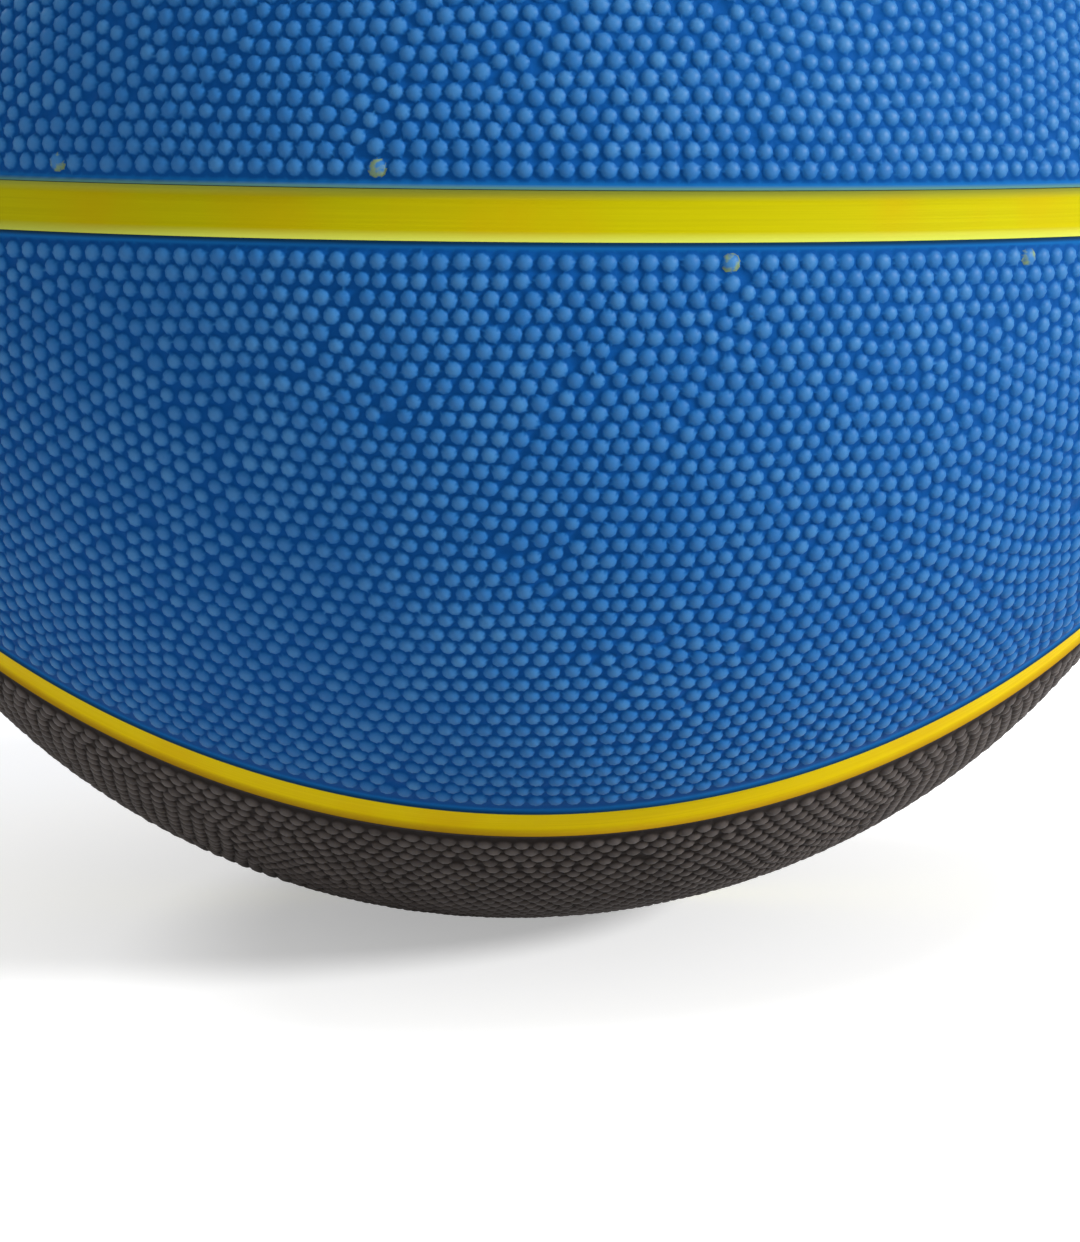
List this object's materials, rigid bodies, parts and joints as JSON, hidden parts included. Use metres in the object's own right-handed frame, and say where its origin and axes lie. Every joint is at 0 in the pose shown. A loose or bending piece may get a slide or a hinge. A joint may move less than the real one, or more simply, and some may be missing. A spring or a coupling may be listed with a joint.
{
  "type": "basketball",
  "caption": "Inflatable rubber ball with pebbled cover panels, recessed channel strips and a needle valve.",
  "frame": {"origin": "centre of the ball", "axes": "the straight channel lies in the XY plane and the second straight channel in the XZ plane, so they cross on the X axis; the curved channels loop round +Z and -Z; the pictured side faces -Y and the valve is on the +Y side; the ball is narrowest along X, where the straight channels cross"},
  "size_m": [0.2398, 0.2398, 0.2398],
  "materials": {
    "blue_cover_rubber": "matte",
    "black_cover_rubber": "matte",
    "yellow_strip_rubber": "satin",
    "carcass_rubber": "matte",
    "nylon_thread": "satin",
    "butyl_rubber": "satin",
    "valve_rubber": "satin"
  },
  "bodies": {
    "root": {"bladder": "butyl_rubber", "cap_panel_back_lower": "black_cover_rubber", "cap_panel_back_upper": "black_cover_rubber", "cap_panel_front_lower": "black_cover_rubber", "cap_panel_front_upper": "black_cover_rubber", "carcass": "carcass_rubber", "curve_strip_lower": "yellow_strip_rubber", "curve_strip_upper": "yellow_strip_rubber", "equator_strip": "yellow_strip_rubber", "meridian_strip_left_lower": "yellow_strip_rubber", "meridian_strip_left_upper": "yellow_strip_rubber", "meridian_strip_over_lower": "yellow_strip_rubber", "meridian_strip_over_upper": "yellow_strip_rubber", "meridian_strip_right_lower": "yellow_strip_rubber", "meridian_strip_right_upper": "yellow_strip_rubber", "side_panel_back_lower": "blue_cover_rubber", "side_panel_back_upper": "blue_cover_rubber", "side_panel_front_lower": "blue_cover_rubber", "side_panel_front_upper": "blue_cover_rubber", "thread_winding": "nylon_thread", "valve_body": "valve_rubber", "valve_core": "valve_rubber"}
  },
  "joints": []
}
